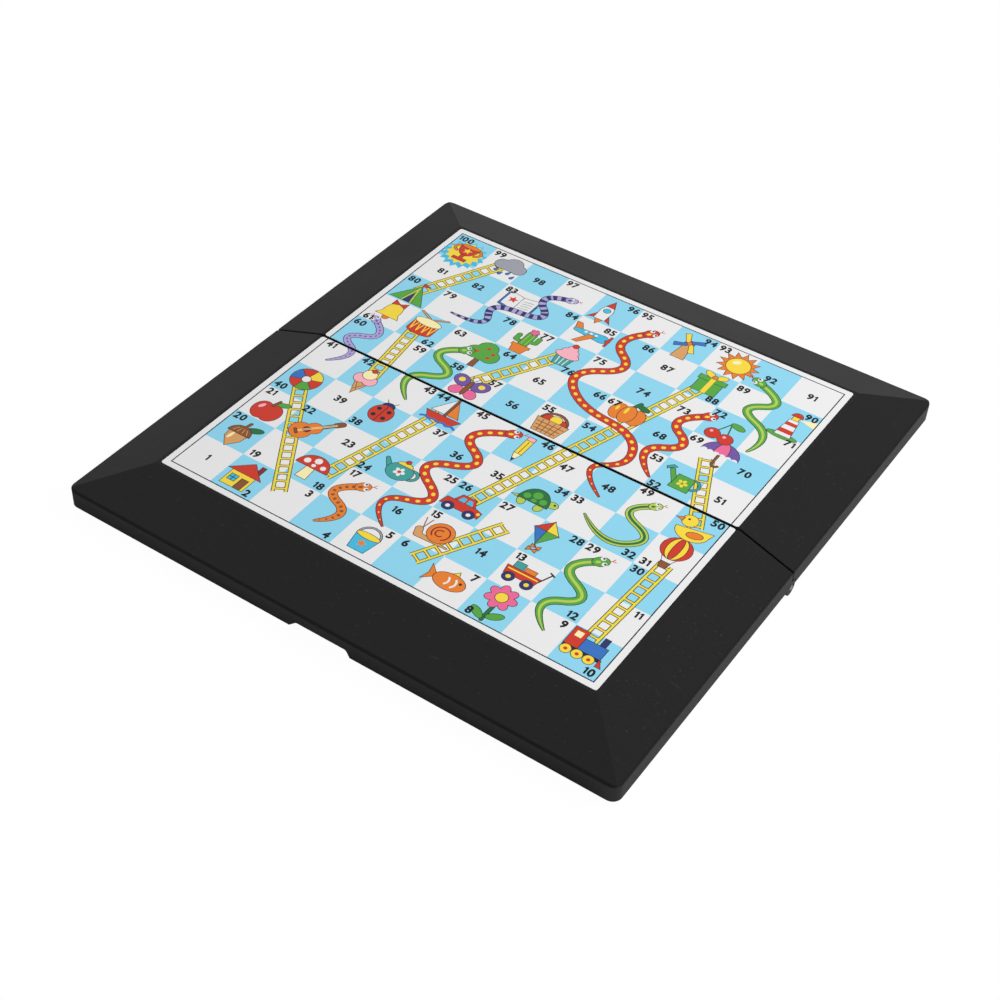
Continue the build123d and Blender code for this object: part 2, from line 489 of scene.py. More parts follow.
def kite(pen):
    quarters = (("red", -5.5, 10), ("yellow", 5.5, 10), ("blue", -5.5, -5), ("green", 5.5, -5))
    for ink, x, y in quarters:
        pen.lay(ink, [(0, 3.5), (x, 3.5), (0, y)])
    pen.mark("line", bar(0, -5, 2, -7.4, 0.3), bar(2, -7.4, -1.4, -10, 0.3))
    for x, y, tie in ((1.2, -6.6, -2), (1.2, -6.6, 2), (0.6, -8.6, -2), (0.6, -8.6, 2)):
        pen.lay("orange", [(x, y), (x + tie, y + 1), (x + tie, y - 1)])


def ball(pen):
    pen.lay("red", oval(0, 0, 8))
    for ink, start in (("yellow", 20), ("blue", 140), ("green", 260)):
        pen.lay(ink, slice_of(0, 0, 8, start, start + 60) + [(0, 0)])
    pen.lay("paper", oval(0, 0, 2.2))


def boat(pen):
    pen.lay("brown", bar(0, -3, 0, 10, 0.9))
    pen.lay("paper", [(-0.8, 9.4), (-7.5, -2), (-0.8, -2)])
    pen.lay("orange", [(0.8, 8), (6.5, -2), (0.8, -2)])
    pen.lay("red", tapered(-8, 6, -3.4, 9))
    pen.mark("blue", *[arch(x, -10.4, 2.6, 1.3, 30, 150) for x in (-7, -2.4, 2.4, 7)])


def house(pen):
    pen.lay("maroon", block(4.6, 6.4, 2, 5))
    pen.lay("yellow", block(0, -3.6, 12, 9.6))
    pen.lay("red", [(-8.4, 1), (8.4, 1), (0, 8.6)])
    pen.lay("brown", block(2.8, -5.2, 3.4, 6.4))
    pen.lay("cyan", block(-2.8, -3.4, 3.6, 3.6))
    pen.mark("line", block(-2.8, -3.4, 0.4, 3.6), block(-2.8, -3.4, 3.6, 0.4))


def tree(pen):
    pen.lay("brown", tapered(-10, 1.4, -1, 1))
    pen.lay("green", *both(oval(4, 0.6, 4.6)), oval(0, 5, 5.2), oval(0, 0, 4))
    pen.mark("red", oval(-4, 1, 1), oval(3.6, -0.6, 1), oval(0.4, 5.6, 1), oval(4.4, 3, 1))


def mushroom(pen):
    pen.lay("cream", tapered(-8.6, 2.8, 0, 2))
    pen.lay("red", dome(0, -0.6, 8.6, 8.4))
    pen.mark("paper", oval(-4.4, 2.6, 1.7), oval(0.4, 4.8, 1.9))
    pen.mark("paper", oval(5, 2, 1.4), oval(0.2, 1.2, 1.1))


def umbrella(pen):
    pen.lay("brown", bar(0, 1, 0, -7, 0.9), arch(1.6, -7, 1.6, 0.9, 180, 350))
    pen.lay("purple", dome(0, 0, 9, 8.4))
    pen.lay("pink", dome(0, 0, 3.2, 8.4))
    pen.mark("paper", *both(*[dome(x, -0.3, 1.5, 1.3) for x in (1.5, 4.5, 7.5)]))


def rain_cloud(pen):
    pen.lay("grey", oval(-4.4, 1.6, 4), oval(0.6, 4, 4.8), oval(5, 1.4, 3.8), block(0.2, 0, 9, 4))
    for x, y in ((-5, -4.4), (-1.6, -6.4), (2, -4.4), (5.4, -6.4)):
        pen.lay("blue", bar(x, y, x + 0.7, y + 1.8, 1.5, 0.3))


def fish(pen):
    pen.lay("orange", [(-4.6, 0), (-9.6, 4.6), (-8.4, 0), (-9.6, -4.6)])
    pen.lay("yellow", [(-1, 3.4), (2.4, 6.8), (4, 3)])
    pen.lay("orange", oval(1.4, 0, 7.4, 4.6))
    pen.mark("paper", arch(1, 0, 3.4, 0.9, -50, 50), arch(-2, 0, 3, 0.9, -50, 50))
    pen.mark("line", oval(6, 1.4, 0.7))


def balloon(pen):
    for ink, half_width in (("red", 6.8), ("yellow", 4.2), ("red", 1.7)):
        pen.lay(ink, oval(0, 3, half_width, 7))
    pen.mark("line", *both(bar(3.6, -3, 1.9, -6.6, 0.3)))
    pen.lay("brown", tapered(-10, 1.6, -6.4, 2.2))


def motor_car(pen):
    pen.lay("red", [(-5, 0), (-3.2, 4.6), (3, 4.6), (5.4, 0)])
    pen.mark("cyan", [(-3.4, 0.4), (-2.4, 3.4), (-0.4, 3.4), (-0.4, 0.4)])
    pen.mark("cyan", [(0.6, 0.4), (0.6, 3.4), (2.4, 3.4), (3.8, 0.4)])
    pen.lay("red", [(-9, -4), (9, -4), (9, -0.6), (6, 0.4), (-8, 0.4)])
    pen.wheels("navy", "paper", -4.2, 2.4, 1, (-5, 5))
    pen.mark("yellow", oval(8, -1.6, 0.8))


def gift(pen):
    pen.lay("green", block(0, -4, 12, 9.6))
    pen.lay("green", block(0, 1.8, 14, 3))
    pen.mark("yellow", block(0, -2.8, 2.4, 12))
    pen.lay("yellow", *both(oval(3, 5.4, 3, 1.6, 28)))
    pen.lay("orange", oval(0, 4.2, 1.2))


def ice_cream(pen):
    pen.lay("tan", [(-4, 0), (0, -10), (4, 0)])
    pen.mark("brown", *both(bar(2.6, -1, -0.8, -7, 0.4)))
    pen.lay("rose", *both(oval(2.6, 2, 3.6)))
    pen.lay("cream", oval(0, 6, 3.6))
    pen.lay("red", oval(0.4, 9.6, 1.3))


def drum(pen):
    pen.lay("tan", *both(bar(8, 8.6, 1, 5, 0.8)))
    pen.lay("red", block(0, -2.6, 14, 8.6), oval(0, -6.9, 7, 2.2))
    for x in (-5.2, -1.7, 1.8, 5.3):
        pen.mark("yellow", bar(x - 1.4, 1, x, -6.8, 0.6), bar(x, -6.8, x + 1.4, 1, 0.6))
    pen.lay("cream", oval(0, 2, 7.4, 2.8))


def butterfly(pen):
    pen.lay("purple", *both(oval(5, 3.4, 4.6, 3.6, 35)))
    pen.lay("pink", *both(oval(3.8, -3.8, 3.4, 2.8, -40)))
    pen.mark("yellow", *both(oval(5.4, 3.8, 1.6)))
    pen.mark("line", *both(bar(0, 4, 2, 8.6, 0.35)))
    pen.lay("brown", oval(0, -0.4, 1.1, 5.6))


def cupcake(pen):
    pen.lay("teal", tapered(-9, 3.6, -1, 5))
    pen.mark("paper", *[bar(x, -2, 0.75 * x, -8.4, 0.5) for x in (-2.6, 0, 2.6)])
    pen.lay("rose", oval(0, 0, 6.4, 2.8), oval(0, 3, 4.6, 2.6), oval(0, 5.8, 2.6, 2))
    pen.lay("red", oval(0, 8.4, 1.5))


def tent(pen):
    for ink, half_width, top in (("green", 9, 7.4), ("lime", 3, 7.4), ("navy", 1.8, 1.6)):
        pen.lay(ink, [(-half_width, -7), (half_width, -7), (0, top)])
    pen.lay("red", [(0, 7.4), (0, 10), (3.6, 8.8)])


def rocket(pen):
    pen.lay("orange", [(-2, -6), (2, -6), (0, -10)])
    pen.lay("red", *both([(2.6, -1), (6, -7), (2.4, -5.4)]))
    pen.lay("paper", [(-2.8, -6), (-3.2, 2), (0, 10), (3.2, 2), (2.8, -6)])
    pen.lay("red", [(-2.2, 5), (0, 10), (2.2, 5)])
    pen.lay("cyan", oval(0, 1.6, 1.7))


def gold_cup(pen):
    """Prize on the last square, on a bright splash."""
    pen.mark("cyan", star(0, -1.6, 11.5, 9, 16))
    pen.mark("yellow", star(0, -0.6, 9.4, 7.2, 14))
    pen.lay("orange", *both(arch(4.6, 2.4, 2.4, 1.1, -90, 90)))
    pen.lay("red", dome(0, 5.4, 5, -7.6))
    pen.lay("red", block(0, -3.4, 1.6, 3.4), block(0, -5.6, 7, 1.8))
    pen.lay("orange", oval(0, 5.4, 5, 1.2))
    pen.mark("yellow", star(0, 1.8, 2.4, 1, 5))


def engine(pen):
    pen.lay("navy", block(5, 5.6, 2.2, 4.6))
    pen.lay("blue", block(1.6, 0.4, 12, 6))
    pen.lay("red", block(-5.4, 2.2, 6, 9.6))
    pen.mark("cream", block(-5.4, 4, 3, 3))
    pen.mark("line", block(0, -3.6, 17, 1.6))
    pen.wheels("yellow", "red", -5, 2.2, 0.8, (-6, -1, 4))
    pen.lay("red", [(7.6, -2.6), (9.8, -6.4), (7.6, -6.4)])


def ladybird(pen):
    pen.lay("navy", oval(0, 5, 3.4, 2.8))
    pen.lay("red", oval(0, -1.4, 6.4, 6.8))
    pen.mark("line", bar(0, 5, 0, -8, 0.5), *both(oval(3, 1.4, 1.3), oval(3, -4, 1.3)))
    pen.mark("line", *both(bar(1.4, 7, 3.4, 9.6, 0.4)))


def bell(pen):
    pen.lay("orange", oval(0, -6.4, 1.8))
    pen.lay("yellow", dome(0, 0, 5, 7.4) + [(-5, -2), (-7, -5.4), (7, -5.4), (5, -2)])
    pen.lay("red", *both([(0, 7), (4, 9.6), (4, 5.4)]))


def pencil(pen):
    pen.lay("yellow", block(0, 1.5, 3.8, 11))
    pen.lay("rose", block(0, 8.2, 3.8, 2.4))
    pen.lay("cream", [(-1.9, -4), (0, -9.6), (1.9, -4)])
    pen.mark("line", [(-0.7, -7.5), (0, -9.6), (0.7, -7.5)], bar(0, 6, 0, -3.4, 0.35))


def cherries(pen):
    pen.mark("leaf", bar(-3.6, -3, 1.4, 7.4, 0.8), bar(4, -4, 1.4, 7.4, 0.8))
    pen.lay("green", oval(5, 6.8, 4, 1.9, -12))
    pen.lay("red", oval(-3.8, -4.4, 4), oval(4, -5.4, 4))
    pen.mark("rose", oval(-5, -3, 0.9), oval(2.8, -4, 0.9))


def bucket(pen):
    pen.lay("grey", arch(0, 2, 6, 0.8, 0, 180))
    pen.lay("cyan", tapered(-8.6, 4.4, 2, 6.4))
    pen.lay("yellow", oval(0, 2, 6.4, 1.8))
    pen.mark("orange", star(0, -3.6, 2.8, 1.2, 5))


def duck_boat(pen):
    pen.lay("yellow", dome(0, -1.4, 7.6, -6) + [(8.6, 2)], oval(-4, 4, 3.6))
    pen.lay("orange", [(-7, 4.8), (-10, 3.4), (-7, 2.6)], oval(2, -3, 3.6, 1.9, 14))
    pen.mark("line", oval(-4.8, 4.8, 0.6))


def windmill(pen):
    pen.lay("tan", tapered(-9.6, 3.4, 3, 1.8))
    pen.lay("red", dome(0, 3, 2.4, 2.6))
    sail = [(0.4, 0), (7.4, 0.2), (7.4, 2.8), (1.2, 1.8)]
    for ink, turn in (("blue", 20), ("yellow", 110), ("blue", 200), ("yellow", 290)):
        spin = Matrix.Rotation(radians(turn), 2)
        pen.lay(ink, [Vector((0, 3.4)) + spin @ Vector(corner) for corner in sail])
    pen.lay("orange", oval(0, 3.4, 1.1))


def watering_can(pen):
    pen.lay("teal", arch(4.6, 0, 3.4, 1, -90, 90))
    pen.lay("green", [(-4, -6), (5, -6), (4.4, 3.4), (-3.4, 3.4)])
    pen.lay("green", [(-3.8, -3), (-8.4, 4.4), (-6.8, 5.4), (-3.6, 0.6)])
    pen.lay("teal", [(-9.8, 3.8), (-6.4, 6.8), (-8.2, 7.4), (-10.4, 5)])
    pen.mark("yellow", *petals(0.6, -1.4, 1.6, 5, 1, 0.8))


def pumpkin(pen):
    pen.lay("leaf", bar(0, 4, 1.8, 8.6, 1.8), oval(4.6, 6.2, 3.4, 1.6, -14))
    pen.lay("orange", *both(oval(4.8, -2, 4.4, 6)))
    pen.lay("orange", oval(0, -2, 4, 6.6))
    pen.mark("yellow", oval(-1.6, 0.4, 0.8, 2.6), oval(-6.4, 0, 0.7, 2))


def guitar(pen):
    pen.lay("brown", bar(2, 2, 7, 7.6, 1.9), bar(6.8, 7.4, 8.6, 9.4, 3))
    pen.lay("orange", oval(-4.4, -4.4, 5.2), oval(0, 0, 3.6))
    pen.mark("orange", oval(-2.6, -2.6, 3.4))
    pen.lay("maroon", oval(-2.4, -2.4, 1.7))
    pen.mark("cream", bar(-5.6, -5, 6.8, 7.8, 0.3), bar(-5, -5.6, 7.2, 7.2, 0.3))
    pen.lay("brown", bar(-6.8, -5, -5, -6.8, 1))


def teapot(pen):
    pen.lay("teal", arch(5.6, -1, 3, 1.2, -100, 100), bar(-4, -3, -9.4, 3, 2.8, 1.5))
    pen.lay("teal", oval(0, -1.6, 6.4, 5.4))
    pen.lay("yellow", dome(0, 2.6, 3.8, 2.2))
    pen.lay("red", oval(0, 5.4, 1.1))
    pen.mark("paper", *petals(0, -1.8, 1.7, 5, 1.1, 0.9))
    pen.mark("red", oval(0, -1.8, 0.9))


def acorn(pen):
    pen.lay("leaf", oval(5.2, 6, 4.4, 1.8, 24))
    pen.lay("tan", [(-5, 1), (-4.4, -4), (0, -9.6), (4.4, -4), (5, 1)])
    pen.mark("cream", oval(-2.2, -2.4, 0.8, 2.6, -8))
    pen.lay("brown", bar(0, 5, 0.8, 9, 1.2), dome(0, 0.4, 6.2, 5.6))
    pen.mark("tan", *both(*[bar(x, 1.4, 0.6 * x, 4.2, 0.4) for x in (1.4, 4)]))


def snail(pen):
    pen.mark("brown", bar(-6.6, -2, -8.6, 4, 0.5), bar(-6.6, -2, -5.6, 4.2, 0.5))
    pen.lay("tan", bar(-7.4, -3.6, -6.4, -6, 3.2), bar(-6.6, -6.6, 8.6, -7, 2.8, 0.6))
    pen.lay("orange", oval(1.6, -0.8, 6))
    pen.mark("maroon", arch(1.6, -0.8, 4, 0.7, -60, 230), arch(1.2, -1, 1.9, 0.7, 60, 330))


def wagon(pen):
    pen.mark("line", bar(7, -1, 10, 6.4, 0.7), bar(8.6, 6.8, 10.8, 5.8, 0.8))
    pen.lay("teal", block(-4, 2.6, 4.6, 4.6))
    pen.lay("orange", block(1.6, 1.8, 5, 3.6))
    pen.lay("red", [(-8.6, 1), (-7.8, -3.6), (6.4, -3.6), (7.4, 1)])
    pen.mark("yellow", bar(-7.4, -0.4, 6.4, -0.4, 0.7))
    pen.wheels("navy", "yellow", -4.8, 2.6, 1.1, (-4.8, 4))


def story_book(pen):
    pen.lay("blue", [(-9.4, -6.4), (0, -8), (9.4, -6.4), (9.4, 5), (0, 3.4), (-9.4, 5)])
    for x in (-8.4, 8.4):
        pen.lay("paper", [(x, -5), (0, -6.8), (0, 4.8), (x, 6.4)])
    pen.mark("grey", *[bar(1.6, y, 6.8, y + 1, 0.5) for y in (2.2, 0.2, -1.8, -3.8)])
    pen.mark("red", star(-4.2, 0.4, 2.9, 1.3, 5))


def lighthouse(pen):
    pen.lay("green", oval(0, -8.8, 7.4, 1.9))
    pen.lay("paper", tapered(-8.6, 3.8, 4, 2.2))
    pen.mark("red", tapered(-6.4, 3.55, -3.4, 3.169), tapered(-0.4, 2.788, 2, 2.483))
    pen.mark("cream", [(2, 6), (9.6, 8.6), (9.6, 3.6)])
    pen.lay("yellow", block(0, 5.6, 3, 2.8))
    pen.lay("red", dome(0, 7, 2.6, 2.8))


def aeroplane(pen):
    pen.lay("orange", [(-8.6, 1), (-10, 6), (-7.4, 6), (-4.6, 1.4)])
    pen.lay("cyan", bar(-7.6, 0.4, 6.8, 0.4, 2.4, 6))
    pen.lay("orange", [(-0.4, 0), (3.4, 0), (-2.4, -8), (-4.8, -8)])
    pen.mark("paper", *[oval(x, 1.2, 0.8) for x in (-2.6, 0.2, 3)])
    pen.lay("red", bar(10, -3.4, 10, 4.2, 0.9), oval(9.6, 0.4, 1.1))


def cactus(pen):
    pen.lay("green", bar(-5.4, 3.4, -5.4, -0.4, 2.4), bar(-5.4, -0.6, 0, -1.4, 2.2))
    pen.lay("green", bar(5, 5.6, 5, 1.6, 2.4), bar(5, 1.4, 0, 0.4, 2.2), bar(0, -4, 0, 6.6, 5))
    pen.mark("lime", *both(bar(1.2, -2.4, 1.2, 7, 0.35)))
    pen.lay("pink", *petals(0, 9, 1.2, 5, 1.2, 0.9))
    pen.lay("orange", tapered(-10, 3.2, -4.4, 4.4), block(0, -4.4, 10, 1.7))


def turtle(pen):
    pen.lay("lime", oval(-4.6, -5, 1.8, 2.4, 20), oval(4, -5, 1.8, 2.4, -20),
            oval(8.2, 0, 2.6, 2))
    pen.lay("lime", [(-7, -2), (-10, -3.4), (-7, -4)])
    pen.lay("leaf", dome(0, -3.4, 7.2, 9))
    pen.mark("green", *both(oval(4, -0.8, 1.7)), oval(0, 1.6, 2.2), oval(0, -2, 1.4, 1))
    pen.mark("line", oval(9, 0.6, 0.6))


def basket(pen):
    pen.lay("brown", arch(0, 0, 6.6, 1.1, 0, 180))
    pen.lay("red", oval(-3.2, 1.6, 2.8), oval(3.6, 1.2, 2.6))
    pen.lay("yellow", oval(0.4, 2.4, 2.8))
    pen.lay("tan", tapered(-8.6, 6, 0.6, 8))
    for y, half_width in ((-2, 6.8), (-4.4, 6.08), (-6.8, 5.36)):
        pen.mark("brown", bar(-half_width, y, half_width, y, 0.5))
    pen.mark("brown", *both(*[bar(x, 0, 0.76 * x, -8.2, 0.45) for x in (1.5, 4.6)]))


# ---------- stencils of what repeats or follows a path

# Millimetres between the points of a snake, and the share of a ladder's run that has rungs.
SNAKE_STEP = 0.9
LADDER_RUN = (0.03, 0.97)


class Recipe(Graph):
    """Geometry node tree with named inputs, which draws flat inked shapes in millimetres."""

    KINDS = {
        "number": "NodeSocketFloat",
        "count": "NodeSocketInt",
        "place": "NodeSocketVector",
        "ink": "NodeSocketMaterial",
        "geometry": "NodeSocketGeometry",
    }

    def __init__(self, name, **labels):
        super().__init__(bpy.data.node_groups.new(name, "GeometryNodeTree"))
        face = self.tree.interface
        face.new_socket("Shape", in_out="OUTPUT", socket_type=self.KINDS["geometry"])
        self.identifiers = {}
        for kind, names in {"geometry": "shape", **labels}.items():
            for label in names.split():
                made = face.new_socket(label, in_out="INPUT", socket_type=self.KINDS[kind])
                self.identifiers[label] = made.identifier
        self.inlet = self.tree.nodes.new("NodeGroupInput")

    def given(self, label):
        return Wire(self, self.inlet.outputs[label])

    def inked(self, shapes, ink, chosen=True):
        inputs = {"Geometry": shapes, "Selection": chosen, "Material": ink}
        return self.node("GeometryNodeSetMaterial", inputs)

    def grid(self, width, depth, across=2, back=2):
        """Flat grid round the origin, with a number of points along X and along Y."""
        inputs = {"Size X": width, "Size Y": depth, "Vertices X": across, "Vertices Y": back}
        return self.node("GeometryNodeMeshGrid", inputs)

    def evenly(self, path, pitch):
        inputs = {"Curve": path, "Length": pitch}
        return self.node("GeometryNodeResampleCurve", inputs, mode="LENGTH")

    def at_points(self, path, pitch, instance, scale):
        """Copies of an instance along a path, one every pitch, with their X along it."""
        inputs = {"Vector": self.node("GeometryNodeInputTangent")}
        along = self.node("FunctionNodeAlignRotationToVector", inputs, axis="X", pivot_axis="Z")
        inputs = {
            "Points": self.evenly(path, pitch), "Instance": instance, "Rotation": along,
            "Scale": scale}
        return self.node("GeometryNodeInstanceOnPoints", inputs)

    def strip(self, path, width):
        """Flat band along a path."""
        flat = self.node("GeometryNodeSetCurveNormal", {"Curve": path}, mode="Z_UP")
        across = {"Start": (-0.5, 0.0, 0.0), "End": (0.5, 0.0, 0.0)}
        line = self.node("GeometryNodeCurvePrimitiveLine", across)
        inputs = {"Curve": flat, "Profile Curve": line, "Scale": width}
        return self.node("GeometryNodeCurveToMesh", inputs)

    def moved_aside(self, path, distance):
        inputs = {0: self.node("GeometryNodeInputTangent"), 1: (0.0, 0.0, 1.0)}
        side = self.node("ShaderNodeVectorMath", inputs, operation="CROSS_PRODUCT")
        offset = self.node("ShaderNodeVectorMath", {0: side, "Scale": distance}, operation="SCALE")
        return self.node("GeometryNodeSetPosition", {"Geometry": path, "Offset": offset})

    def finish(self, ink, *shapes):
        """Joins the shapes, makes the copies real, and inks the faces that have no ink yet."""
        joined = self.node("GeometryNodeJoinGeometry")
        for part in shapes:
            self.tree.links.new(part.socket, joined.socket.node.inputs[0])
        real = self.node("GeometryNodeRealizeInstances", {"Geometry": joined})
        bare = self.node("GeometryNodeMaterialSelection", {"Material": None})
        self.node("NodeGroupOutput", {"Shape": self.inked(real, ink, bare)})
        return self


def stencil(layers, recipe, order, carrier=None, **given):
    """Runs a recipe and lays its faces in the print, ink by ink in the order given."""
    carrier = carrier or bpy.data.objects.new("stencil", bpy.data.meshes.new("stencil"))
    bpy.context.scene.collection.objects.link(carrier)
    modifier = carrier.modifiers.new("stencil", "NODES")
    modifier.node_group = recipe.tree
    for label, value in given.items():
        modifier[recipe.identifiers[label]] = value
    graph = bpy.context.evaluated_depsgraph_get()
    mesh = bpy.data.meshes.new_from_object(carrier.evaluated_get(graph), depsgraph=graph)
    points = [vertex.co.xy for vertex in mesh.vertices]
    for ink in order:
        for face in mesh.polygons:
            if mesh.materials[face.material_index].name == inks[ink].name:
                layers.lay(ink, [points[corner] for corner in face.vertices])
    bpy.data.objects.remove(carrier)
    bpy.data.meshes.remove(mesh)


def ladder_recipe():
    """Two rails between two points, with even rungs along their run and a dark line round all."""
    recipe = Recipe(
        "ladder", place="foot top", number="spread rail rung pitch line",
        ink="line_ink rail_ink rung_ink")
    given = recipe.given
    ends = {"Start": given("foot"), "End": given("top")}
    path = recipe.node("GeometryNodeCurvePrimitiveLine", ends)
    start, end = LADDER_RUN
    inner = recipe.node("GeometryNodeTrimCurve", {"Curve": path, 2: start, 3: end})
    shapes = []
    passes = ((2.0, "line_ink", "line_ink"), (0.0, "rail_ink", "rung_ink"))
    for border, rail_ink, rung_ink in passes:
        wider = given("line") * border
        rung = recipe.grid(given("rung") + wider, given("spread"))
        rungs = recipe.at_points(inner, given("pitch"), rung, (1.0, 1.0, 1.0))
        shapes.append(recipe.inked(rungs, given(rung_ink)))
        for side in (0.5, -0.5):
            rail = recipe.moved_aside(path, given("spread") * side)
            strip = recipe.strip(rail, given("rail") + wider)
            shapes.append(recipe.inked(strip, given(rail_ink)))
    return recipe.finish(given("rail_ink"), *shapes)


def snake_recipe():
    """Tapering body along a path, with a dark line round it and spots, bands or a stripe."""
    recipe = Recipe(
        "snake", ink="line_ink body_ink mark_ink",
        number="width taper line spot_pitch spot_share spot_stretch band stripe_share")
    given = recipe.given
    path = recipe.evenly(given("shape"), SNAKE_STEP)
    run = recipe.node("GeometryNodeSplineParameter")
    length = recipe.node("GeometryNodeSplineParameter", output="Length")
    inputs = {"Geometry": path, "Name": "run", "Value": length}
    kind = {"data_type": "FLOAT", "domain": "POINT"}
    path = recipe.node("GeometryNodeStoreNamedAttribute", inputs, **kind)
    tail = ((1.0 - run) / given("taper")).at_most(1.0)
    width = given("width") * (tail ** 0.7 * 0.9 + 0.1)
    outline = recipe.inked(recipe.strip(path, width + given("line") * 2.0), given("line_ink"))
    body = recipe.inked(recipe.strip(path, width), given("body_ink"))
    stripe = recipe.strip(path, width * given("stripe_share"))
    reach = recipe.node("GeometryNodeInputNamedAttribute", {"Name": "run"}, data_type="FLOAT")
    in_band = reach % (given("band") * 2.0) > given("band")
    body = recipe.inked(body, given("mark_ink"), in_band)
    disc = recipe.node("GeometryNodeMeshCircle", {"Vertices": 10, "Radius": 0.5}, fill_type="NGON")
    size = width * given("spot_share")
    scale = recipe.node("ShaderNodeCombineXYZ", {0: size * given("spot_stretch"), 1: size, 2: 1.0})
    spots = recipe.at_points(path, given("spot_pitch"), disc, scale)
    marks = [recipe.inked(mark, given("mark_ink")) for mark in (stripe, spots)]
    return recipe.finish(given("body_ink"), outline, body, *marks)


def squares_recipe():
    """Chequered squares, counted from the board's front left corner."""
    recipe = Recipe(
        "squares", place="corner", number="across back", count="columns rows first_row",
        ink="even_ink odd_ink")
    given = recipe.given
    width = given("across") * given("columns")
    depth = given("back") * given("rows")
    grid = recipe.grid(width, depth, given("columns") + 1, given("rows") + 1)
    place = {0: recipe.node("GeometryNodeInputPosition")}
    column = recipe.node("ShaderNodeSeparateXYZ", place, "X") / given("across")
    row = recipe.node("ShaderNodeSeparateXYZ", place, "Y") / given("back")
    column = (column + given("columns") * 0.5).floor()
    row = (row + given("rows") * 0.5).floor() + given("first_row")
    odd = (column + row) % 2.0 > 0.5
    squares = recipe.inked(recipe.inked(grid, given("even_ink")), given("odd_ink"), odd)
    half = recipe.node("ShaderNodeCombineXYZ", {0: width * 0.5, 1: depth * 0.5})
    centre = recipe.node("ShaderNodeVectorMath", {0: given("corner"), 1: half}, operation="ADD")
    placed = recipe.node("GeometryNodeSetPosition", {"Geometry": squares, "Offset": centre})
    return recipe.finish(given("even_ink"), placed)


# ---------- what the board shows

# A ladder's sizes in millimetres, and each one's foot and top in squares from the front left.
LADDER = dict(spread=5.0, rail=0.95, rung=0.75, pitch=4.2, line=0.36)
LADDERS = [
    ((2.3, 0.55), (0.55, 3.35)),
    ((5.55, 0.6), (6.5, 2.35)),
    ((2.7, 1.45), (3.5, 4.4)),
    ((9.4, 0.6), (9.55, 3.3)),
    ((5.5, 2.5), (7.45, 8.5)),
    ((9.5, 4.5), (8.65, 6.45)),
    ((1.55, 4.45), (1.3, 6.5)),
    ((3.35, 5.55), (4.4, 7.45)),
    ((0.5, 7.5), (1.45, 9.45)),
]

# Kinds of snake, in millimetres. A pitch or band of 1000 leaves the body without any.
PLAIN = dict(
    width=3.6, taper=0.3, line=0.3, spot_pitch=1000.0, spot_share=0.0, spot_stretch=1.0,
    band=1000.0, stripe_share=0.0)
RED = dict(PLAIN, inks=("red", "yellow"), spot_pitch=4.0, spot_share=0.46, spot_stretch=1.3)
GREEN = dict(PLAIN, inks=("green", "lime"), width=3.5, stripe_share=0.34)
BANDED = dict(PLAIN, inks=("lavender", "navy"), width=2.9, band=1.7)
LIME = dict(PLAIN, inks=("lime", "leaf"), width=2.8, stripe_share=0.4)
LILAC = dict(
    PLAIN, inks=("lavender", "purple"), width=2.8, spot_pitch=2.2, spot_share=0.3,
    spot_stretch=1.6)
LEOPARD = dict(
    PLAIN, inks=("orange", "brown"), width=3.3, spot_pitch=2.4, spot_share=0.5,
    spot_stretch=0.8)

# Each snake's kind, and the points that it runs past in squares, from its head to its tail.
SNAKES = [
    (RED, [(5.55, 9.3), (4.95, 8.7), (6.0, 7.95), (4.8, 7.2), (5.6, 6.3), (7.1, 6.2), (7.5, 5.3),
           (6.6, 4.75), (7.5, 4.15)]),
    (RED, [(5.0, 4.7), (4.0, 4.2), (5.3, 3.5), (3.85, 2.9), (5.2, 2.1), (3.7, 1.6), (4.55, 0.95)]),
    (RED, [(8.0, 7.6), (7.3, 7.1), (8.3, 6.5), (7.2, 5.9), (8.0, 5.25)]),
    (GREEN, [(8.4, 9.25), (9.3, 8.9), (8.3, 8.3), (9.5, 7.8), (9.2, 7.1)]),
    (GREEN, [(2.6, 6.4), (1.9, 6.0), (3.1, 5.5), (1.85, 4.95), (2.6, 4.3)]),
    (GREEN, [(8.45, 2.6), (7.8, 2.15), (9.0, 1.6), (7.9, 1.05), (8.6, 0.5)]),
    (BANDED, [(3.45, 9.3), (2.7, 9.1), (3.6, 8.3), (2.0, 8.2), (2.6, 7.3), (1.55, 7.35)]),
    (LIME, [(8.5, 4.55), (7.9, 4.15), (9.1, 3.7), (8.2, 3.0), (7.5, 3.6)]),
    (LILAC, [(0.45, 6.1), (1.05, 5.7), (0.05, 5.3), (0.95, 4.85), (0.4, 4.35)]),
    (LEOPARD, [(3.5, 1.6), (2.85, 1.2), (3.95, 0.8), (3.35, 0.3)]),
]

